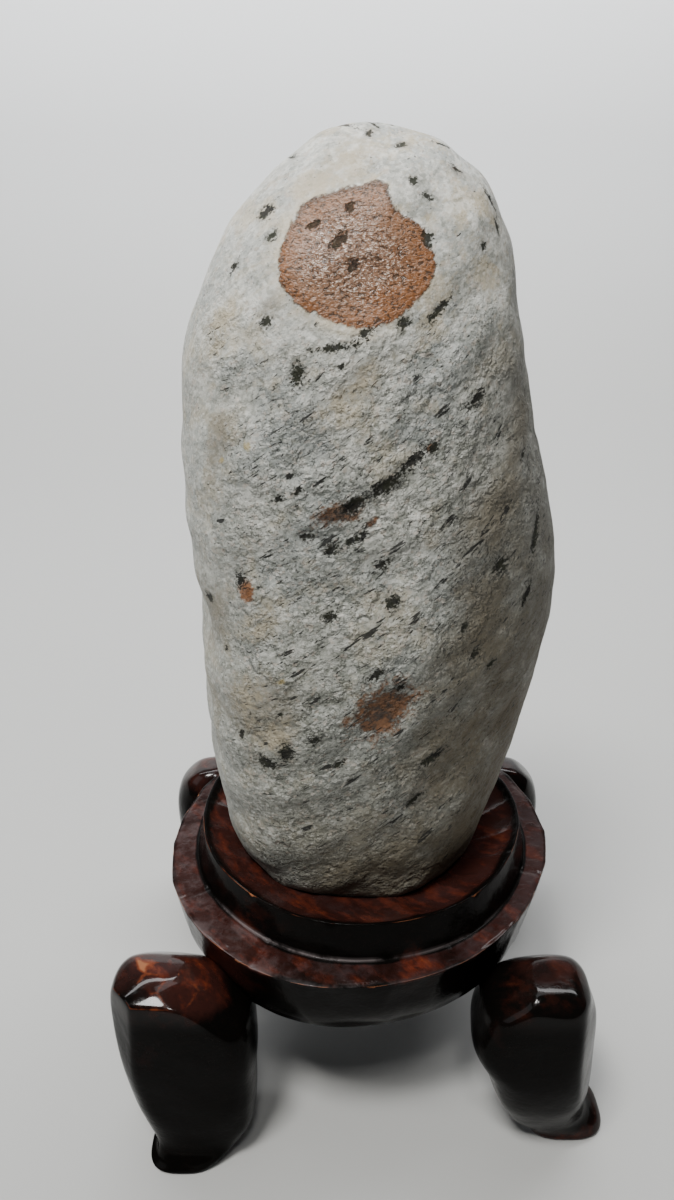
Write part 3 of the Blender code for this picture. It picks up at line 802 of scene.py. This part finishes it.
def carveBlock(mesh, place):
    # knife facets, nicks and waves, all cut inwards
    points = pointsOf(mesh)
    x, y, z = (points / mm).T
    angles = np.arctan2(y, x)
    wall = between(place, 1, 1.4, 2.99, 3.2)
    ledge = between(place, 2.9, 3.1, 3.9, 4)
    collar = between(place, 4, 4.2, 4.99, 5.2)
    dish = between(place, 6.03, 6.2, 6.8, 7.2)
    facets = block["facets"]
    seed = block["facetSeed"]
    shave = wall * facetShave(angles, *facets["wall"], seed, 0.05 * np.sin(z / 9))
    shave += collar * facetShave(angles, *facets["collar"], seed + 1)
    shave += dish * facetShave(angles, *facets["dish"], seed + 2, 0.12 * (place - 7))
    shave *= 1 + 0.5 * noiseAt(points, block["facetUneven"])
    for spacing, amount in block["waves"]:
        shave += amount * (0.5 + noiseAt(points, spacing))
    for spacing, amount in block["ledgeWaves"]:
        shave += ledge * amount * (0.5 + noiseAt(points, spacing))
    for angle, height, halfWidth, depth in block["nicks"]:
        turn = math.radians(angle)
        off = -x * math.sin(turn) + y * math.cos(turn)
        facing = x * math.cos(turn) + y * math.sin(turn) > 0
        shave += depth * facing * np.exp(-(off / halfWidth) ** 2 - (z - height) ** 2)
    shave[place < 1] = 0
    raiseBy(mesh, -shave * mm)

    # the seat gives way wherever the stone would be in it
    tree = BVHTree.FromPolygons(
        [vertex.co for vertex in boulderMesh.vertices],
        [polygon.vertices for polygon in boulderMesh.polygons],
    )
    points = pointsOf(mesh)
    for k in np.flatnonzero(place > block["dishStart"]):
        below = Vector((points[k][0], points[k][1], block["underside"] * mm))
        hit = tree.ray_cast(below, Vector((0, 0, 1)))[0]
        if hit:
            points[k][2] = min(points[k][2], hit.z - gap)
    moveTo(mesh, points)
    # painted highlights: pale lines along the outer edge of the ledge and the foot of the collar, at the
    # front
    facingUp = pointsOf(mesh, "normal")[:, 2]
    outerHighlight = (place == 3) * np.exp(-((facingUp - 0.75) / 0.22) ** 2) * smoothStep(-y, 10, 40)
    footHighlight = (place == 4) * np.exp(-((facingUp - 0.6) / 0.3) ** 2) * smoothStep(-y, 38, 60)
    line = np.maximum(outerHighlight * 0.7, footHighlight)
    thin = np.maximum(dish, 0.7 * ledge)
    for spot, reach, amount in block["redSpots"]:
        thin += amount * fallOff(points, spot, reach)
    edge = convexity(mesh, 1)
    addFields(mesh, edge=edge, line=line, ledge=ledge, dusty=ledge + 0.45 * dish, thin=thin)


def wallCutter(mesh, place):
    # the finished outer wall, a hair larger, for the legs to be fitted against
    around = block["around"]
    outer = (place[:-2] >= 1) & (place[:-2] < 3)
    wall = pointsOf(mesh)[:-2][outer].reshape(-1, around, 3)
    away = wall[..., :2] / np.linalg.norm(wall[..., :2], axis=-1, keepdims=True)
    wall[..., :2] += away * gap
    wall[0, :, 2] -= gap
    over = wall[-1:] + (0, 0, block["cutterRise"] * mm)
    rings = np.concatenate((wall, over))
    cutterMesh = loftMesh("wall_cutter", rings, rings[0].mean(0), rings[-1].mean(0))
    return addObject("wall_cutter", cutterMesh)


lacquerLook = {
    "deep": (0.0024, 0.0021, 0.0018), "red": (0.025, 0.008, 0.0062),
    "brown": (0.0085, 0.0042, 0.0035), "glow": (0.095, 0.018, 0.0082),
    "amber": (0.17, 0.039, 0.013), "pale": (0.36, 0.16, 0.075),
    "dust": (0.11, 0.085, 0.085), "sheen": (0.04, 0.04, 0.045),
    "line": (0.2, 0.17, 0.17),
}


def lacquerMaterial():
    s = Shader(bpy.data.materials.new("worn_red_lacquer"), lacquerLook)
    place = s.place()
    edge, thin, ledge = (s.field(name) for name in ("edge", "thin", "ledge"))
    drift = s.cloud(place, 38, 3)
    cloud = s.cloud(place, 11, 4, 0.6)
    fine = s.cloud(place, 2.4, 4, 0.65)
    grain = s.cloud(s.turned(place, (0.1, 0.25, 0.3), (0.16, 1, 1)), 1.6, 4, 0.6)
    streak = s.cloud(s.turned(place, (0, 0.4, 0.8), (0.45, 1.1, 1.1)), 7, 4, 0.6)
    patch = streak * 0.85 + fine * 0.15 + thin * 0.03
    toRight = s.along(place, 0)
    # more towards the left, where the light falls: painted light
    toLeft = s.step(toRight, 50, -50)

    # red where the lacquer is thin, rubbed through along the edges, and dust with a painted sheen on the
    # ledge
    show = drift * 0.5 + cloud * 0.5 + thin * 0.42
    rubbed = edge + (cloud - 0.5) * 1.4 + (fine - 0.5) * 0.5 + thin * 0.28
    worn = s.step(rubbed, 0.72, 1.08)
    bareAndHighlight = edge + (cloud - 0.5) * 1.2 + (fine - 0.5) * 0.6 + thin * 0.2
    # dust with painted reflections of the surroundings: pinkish on the left, bluish on the right
    dustAndSheenShare = s.field("dusty") * (toLeft * 0.14 + 0.22)
    dustAndSheenTint = s.mix(s.step(toRight, 10, -55), "sheen", "dust")
    colour = s.layers(
        s.mix(s.step(show, 0.56, 0.88), "deep", "red"),
        (grain, 0.45, 0.7, 0.15 + thin * 0.2, "brown"),
        (patch, 0.5, 0.66, thin * 0.5, "glow"),
        (patch, 0.62, 0.7, thin * 0.3, "amber"),
        # worn amber edges, brighter to the left: painted light
        (rubbed, 0.72, 1.08, toLeft * 0.45 + 0.25, "amber"),
        # pale bare edges, partly painted highlights
        (bareAndHighlight, 1, 1.3, toLeft * 0.35 + 0.15, "pale"),
        (cloud + (fine - 0.5) * 0.5, 0.4, 0.75, dustAndSheenShare, dustAndSheenTint),
        # painted highlights along the ledge's edge and the collar's foot
        (cloud, 0.34, 0.56, s.field("line") * (toLeft * 0.7 + 0.2), "line"),
    )
    pit = s.step(s.cells(place, 1.5), 0.02, 0.22)
    pitted = s.step(s.cloud(place, 5, 3), 0.45, 0.62)
    relief = grain * 0.06 + fine * 0.25 + cloud * 0.7 + pit * pitted * ledge * 0.5
    gloss = 0.17 + (fine - 0.5) * 0.1 + worn * 0.12 + ledge * 0.14
    coat = 0.02 + thin * 0.22 + s.field("knee") * 0.22 - worn * 0.1
    return s.finish(
        Base_Color=colour, Roughness=gloss, Coat_Weight=coat, Normal=s.bump(relief, 0.4),
        IOR=1.5, Specular_IOR_Level=0.04, Coat_Roughness=0.06, Coat_IOR=1.45,
    )


lacquer = lacquerMaterial()
carvedMesh, carvedPlace = blockMesh()
carveBlock(carvedMesh, carvedPlace)
showPiece("carved_block", carvedMesh, lacquer, "stand_body")
print("block made:", len(carvedMesh.polygons), "faces")


# The legs

legs = {
    "around": 128,
    "rows": 120,
    "squareness": {"front": 2.9, "rear": 2.25},
    "innerCut": 0.24,
    "capRows": 10,
    "cutSoftness": {"front": 1.1, "rear": 2.2},
    "kneeCrown": 0.5,
    "sharpAngle": 35,
    "waves": ((17, 0.34), (7, 0.08)),
    # heights over which each starts
    "cutsStart": (8, 16),
    "wavesStart": (0.3, 3),
    "wearStart": (66, 78),
    "glossStart": (64, 74),
    "toeStart": (10, 3),
    "innerSide": (112, 94),     # from the middle of the block, where wear turns to its side
    # how worn the knee, the toe and the ridges between the cuts are
    "wear": {
        "front_left": (1.3, 0, 0.5), "front_right": (0.28, 0.6, 0.4),
        "rear_left": (0.7, 0.3, 0.3), "rear_right": (0.4, 0.3, 0.2),
    },
    "ridgeWidth": 0.45,
    "ridgeDepth": (-2.2, -1.2),
    "wornSpot": ((-77, -67, 80), 5, 0.9),       # centre, reach and amount
    # sections from sole to knee, in mm: height, inner x, outer x, inner y, outer y
    "front_left": (
        (0, 54.5, 78, 65, 88.5), (1.2, 53, 79.2, 64, 89.6), (3.8, 49, 77.2, 61.5, 88.5),
        (8, 43.6, 78.4, 56, 86.2), (15, 38.5, 82, 47.5, 86.2), (25, 37, 85.6, 41, 87.2),
        (37, 36.4, 88.2, 37.5, 88), (50, 35.5, 90.2, 37.5, 88.4), (61, 37.8, 90.8, 41, 88.2),
        (69, 44.5, 90.4, 48, 87.4), (74.5, 51, 88.9, 54, 85.7), (78.5, 57.2, 85.8, 59.2, 83.4),
        (80.6, 63.5, 79.5, 65, 79.5),
    ),
    "front_right": (
        (0, 63.5, 91.2, 50, 75.5), (1.4, 62, 92.9, 49, 76.5), (4.5, 59, 91.6, 48.5, 76.8),
        (9, 54.5, 86.2, 50, 78), (15, 51.2, 84.2, 47, 80.6), (25, 46.5, 85.5, 42, 84.2),
        (37, 42.6, 86, 38.5, 86.6), (49, 37, 85.6, 38, 87.6), (60, 39.2, 84.2, 42, 87.6),
        (68.5, 43.2, 81.4, 49.2, 86.7), (74.5, 49, 79.6, 55.2, 85), (78.5, 53.8, 76.4, 60.2, 82.6),
        (80.4, 58.4, 71.8, 65, 78.8),
    ),
    "rear_left": (
        (0, 59, 83.5, 64, 88.5), (1.2, 57.8, 84.5, 63, 89.4), (4, 55.2, 83, 61, 88.2),
        (8.5, 50.6, 81.2, 55.6, 85), (15, 45.6, 82, 48.6, 84), (25, 41.4, 83.8, 42.2, 84.6),
        (37, 38.8, 85.2, 38.2, 85.6), (50, 37.6, 86.6, 36.6, 85.8), (61, 39.6, 86.6, 38, 84.2),
        (69.5, 45, 85, 41.2, 79.6), (76, 51.2, 82.2, 44.6, 72.4), (80.5, 57.8, 78.2, 48.6, 65),
        (82.4, 63.6, 73.2, 52, 59.4),
    ),
    "rear_right": (
        (0, 58.4, 84, 64, 88.2), (1.3, 57.2, 85, 63, 89.2), (4.2, 54.8, 83.8, 60.8, 88),
        (8.8, 50.4, 82, 55.2, 84.8), (15.5, 46, 82.8, 48.2, 83.6), (25.5, 42, 84.6, 42, 84.4),
        (37.5, 39.4, 86, 38.4, 85.4), (50, 38, 87.2, 36.6, 85.6), (61.2, 39.8, 87.2, 38, 84.2),
        (69.8, 45, 85.6, 41.2, 79.6), (76.4, 51.2, 82.8, 44.6, 72.6), (80.8, 57.8, 78.6, 48.8, 65.2),
        (82.8, 63.8, 73.6, 52.2, 59.6),
    ),
    # flat cuts of the knife: a point on each, and the way it faces
    "cuts": {
        "front_left": (
            ((-70, -84.6, 50), (-0.06, -1, 0.03)), ((-82.4, -82.8, 50), (-0.75, -0.66, 0.05)),
            ((-80, -70, 79.4), (-0.38, -0.08, 0.92)), ((-72, -66, 80.3), (-0.05, 0.12, 0.99)),
            ((-74, -75, 79.9), (-0.12, -0.26, 0.96)), ((-74, -80, 78.1), (-0.05, -0.58, 0.81)),
            ((-64, -76, 78.6), (0.22, -0.4, 0.89)), ((-59, -70, 78.6), (0.4, -0.1, 0.91)),
            ((-54, -76, 74.5), (0.52, -0.52, 0.68)), ((-52, -64, 76.8), (0.5, 0.12, 0.86)),
        ),
        "front_right": (
            ((64, -70, 79.6), (0.06, -0.1, 0.99)), ((66, -82.6, 76), (0.08, -0.66, 0.75)),
            ((81.5, -76.4, 50), (0.86, -0.5, 0.04)), ((62, -86.2, 50), (-0.03, -1, 0.04)),
            ((76, -70, 77.2), (0.66, -0.1, 0.74)), ((50, -74, 74.5), (-0.55, -0.3, 0.78)),
        ),
        "rear_left": (
            ((-68, 56, 81.6), (-0.1, 0.1, 0.99)), ((-80, 58, 76), (-0.66, 0.1, 0.74)),
            ((-80, 80, 45), (-0.72, 0.69, 0.05)), ((-64, 70, 78), (-0.05, 0.7, 0.71)),
        ),
        "rear_right": (
            ((69, 56, 82), (0.1, 0.1, 0.99)), ((81, 58, 76), (0.66, 0.1, 0.74)),
            ((80, 80, 45), (0.72, 0.69, 0.05)), ((64, 70, 78), (0.05, 0.7, 0.71)),
        ),
    },
}


def legMesh(name):
    side = -1 if "left" in name else 1
    end = -1 if "front" in name else 1
    sections = np.array(legs[name])
    places = (len(sections) - 1) * np.linspace(0, 1, legs["rows"])
    height, innerX, outerX, innerY, outerY = (
        curveThrough(column, places)[:, None] for column in sections.T
    )
    where = name.split("_")[0]
    x, y = squareDirections(legs["around"], legs["squareness"][where], 0.5)
    keep = 1 - legs["innerCut"] * np.maximum(0, -(x + y) / 2)
    across = side * ((innerX + outerX) / 2 + x * keep * (outerX - innerX) / 2)
    deep = end * ((innerY + outerY) / 2 + y * keep * (outerY - innerY) / 2)
    rings = np.stack((across, deep, np.broadcast_to(height, across.shape)), -1) * mm
    if side * end < 0:
        rings = rings[:, ::-1]      # mirrored once, so its faces would point inwards
    # rows that close the sole and the knee
    shares = np.linspace(1, 0, legs["capRows"] + 1)[1:-1, None, None]
    sole = rings[0].mean(0)
    knee = rings[-1].mean(0) + (0, 0, legs["kneeCrown"] * mm)
    soleRows = sole + (rings[0] - sole) * shares[::-1]
    kneeRows = knee + (rings[-1] - knee) * shares
    mesh = loftMesh("leg_" + name, np.concatenate((soleRows, rings, kneeRows)), sole, knee)
    points = pointsOf(mesh)
    soft = legs["cutSoftness"][where] * mm
    for point, facing in legs["cuts"][name]:
        facing = np.array(facing) / np.linalg.norm(facing)
        proud = (points - np.array(point) * mm) @ facing
        proud = (proud + np.hypot(proud, soft)) / 2     # what stands past the cut, with a soft edge
        proud *= smoothStep(points[:, 2] / mm, *legs["cutsStart"])
        points -= proud[:, None] * facing
    moveTo(mesh, points)
    sink = sum(amount * (0.5 + noiseAt(points, spacing)) for spacing, amount in legs["waves"])
    raiseBy(mesh, -sink * smoothStep(points[:, 2] / mm, *legs["wavesStart"]) * mm)
    return mesh


def ridgeLines(points, name):
    # 1 along the ridges where two flat cuts meet
    depths = []
    for point, facing in legs["cuts"][name]:
        depths.append((points / mm - point) @ facing / np.linalg.norm(facing))
    second, first = np.sort(depths, axis=0)[-2:]
    shown = smoothStep(second, *legs["ridgeDepth"])
    return np.exp(-((first - second) / legs["ridgeWidth"]) ** 2) * shown


def fittedLeg(name, cutter):
    leg = addObject(name, legMesh(name))
    fitting = leg.modifiers.new("fit to the block", "BOOLEAN")
    fitting.operation = "DIFFERENCE"
    fitting.solver = "EXACT"
    fitting.object = cutter
    evaluated = leg.evaluated_get(bpy.context.evaluated_depsgraph_get())
    mesh = bpy.data.meshes.new_from_object(evaluated)
    bpy.data.objects.remove(leg)
    mesh.shade_smooth()
    mesh.set_sharp_from_angle(angle=math.radians(legs["sharpAngle"]))
    points = pointsOf(mesh)
    x, y, height = (points / mm).T
    # the wood shows through on the knee, most on the side of the block
    inwards = smoothStep(np.hypot(x, y), *legs["innerSide"])
    kneeWear, toeWear, ridgeWear = legs["wear"][name]
    wear = smoothStep(height, *legs["wearStart"]) * kneeWear
    toe = smoothStep(height, *legs["toeStart"]) * toeWear
    knee = smoothStep(height, *legs["glossStart"])
    spot, reach, amount = legs["wornSpot"]
    worn = amount * fallOff(points, spot, reach) + ridgeWear * ridgeLines(points, name) * knee
    thin = wear * (0.3 + 0.7 * inwards) + toe
    addFields(mesh, edge=convexity(mesh, 1) * (1 + wear) + worn, thin=thin, knee=knee)
    return mesh


cutter = wallCutter(carvedMesh, carvedPlace)
for name in ("front_left", "front_right", "rear_left", "rear_right"):
    mesh = fittedLeg(name, cutter)
    showPiece("carved_leg_" + name, mesh, lacquer, "leg_" + name)
    print("leg made:", name, len(mesh.polygons), "faces")
bpy.data.objects.remove(cutter)


# Floor, light and camera

studio = {
    "floorColour": (0.44, 0.44, 0.43),
    "wallColour": (0.8, 0.81, 0.82),
    "upperColour": (0.2, 0.2, 0.21),
    "shadeHeights": (0, 600, 620, 800),     # mm: floor to wall, then wall to upper
    "floorReach": 1.6,
    "wallDistance": 0.75,
    "sweepRadius": 0.4,
    "sweepSteps": 16,
    "wallTop": 3,
    "camera": (-0.0095, -0.315, 0.331),
    "cameraDown": 24,
    "lens": 27.9,
    "film": 36,
    "worldColour": (0.9, 0.95, 1),
    "worldStrength": 0.045,
    "surround": (0.5, 0.5, 0.5),
    # place, aims at, width, height, power in W, colour
    "lights": {
        "key": ((-0.32, -0.5, 1.36), (0, 0, 0.2), 0.3, 0.3, 20.5, (1, 0.99, 0.96)),
        "glint": ((0.02, -0.68, 1.3), (0, 0, 0.25), 0.16, 0.16, 3.4, (1, 0.99, 0.97)),
        "window": ((-1.25, -0.55, 0.95), (0, 0, 0.22), 0.9, 0.9, 3, (0.92, 0.96, 1)),
        "overhead": ((0.1, 0.3, 1.7), (0, 0.5, 0.3), 1.2, 0.5, 6, (0.96, 0.98, 1)),
        "wall": ((0, 0.5, 1.3), (0, 1.1, 0.3), 2.2, 0.3, 36, (0.98, 0.99, 1)),
    },
}


def studioMaterial():
    s = Shader(bpy.data.materials.new("pale_studio"), studio)
    height = s.along(s.place(), 2)
    low, high, upperLow, upperHigh = studio["shadeHeights"]
    shade = s.mix(s.step(height, low, high), "floorColour", "wallColour")
    shade = s.mix(s.step(height, upperLow, upperHigh), shade, "upperColour")
    return s.finish(Base_Color=shade, Roughness=0.85, Specular_IOR_Level=0.2)


def makeFloor():
    # a floor that sweeps up into a wall
    reach, wall, radius = studio["floorReach"], studio["wallDistance"], studio["sweepRadius"]
    profile = [(-reach, 0)]
    for angle in np.linspace(0, math.pi / 2, studio["sweepSteps"] + 1):
        profile.append((wall + radius * math.sin(angle), radius * (1 - math.cos(angle))))
    profile.append((wall + radius, studio["wallTop"]))
    points = [(x, y, z) for y, z in profile for x in (-reach, reach)]
    faces = [(2 * i, 2 * i + 1, 2 * i + 3, 2 * i + 2) for i in range(len(profile) - 1)]
    mesh = bpy.data.meshes.new("studio_floor")
    mesh.from_pydata(points, [], faces)
    mesh.shade_smooth()
    mesh.materials.append(studioMaterial())
    addObject("studio_floor", mesh)


def makeLights():
    for name, (place, aim, width, height, power, colour) in studio["lights"].items():
        light = bpy.data.lights.new(name, "AREA")
        light.shape = "RECTANGLE"
        light.size = width
        light.size_y = height
        light.energy = power
        light.color = colour
        lamp = addObject(name, light)
        lamp.location = place
        lamp.rotation_euler = (Vector(aim) - Vector(place)).to_track_quat("-Z", "Y").to_euler()
        lamp.visible_camera = False

    # a faint even light, seen past the floor as a pale surround
    s = Shader(bpy.data.worlds.new("studio"), studio, "World Output")
    faint = s.node("ShaderNodeBackground", {}, ("worldColour", studio["worldStrength"]))
    surround = s.node("ShaderNodeBackground", {}, ("surround",))
    seen = s.node("ShaderNodeLightPath", output="Is Camera Ray")
    either = s.node("ShaderNodeMixShader", {}, (seen, faint, surround))
    bpy.context.scene.world = s.finish(Surface=either)


def makeCamera():
    camera = addObject("camera", bpy.data.cameras.new("camera"))
    camera.data.lens = studio["lens"]
    camera.data.sensor_width = studio["film"]
    camera.data.clip_start = 0.01
    camera.location = studio["camera"]
    camera.rotation_euler = (math.radians(90 - studio["cameraDown"]), 0, 0)
    bpy.context.scene.camera = camera


makeFloor()
makeLights()
makeCamera()
print("studio made")
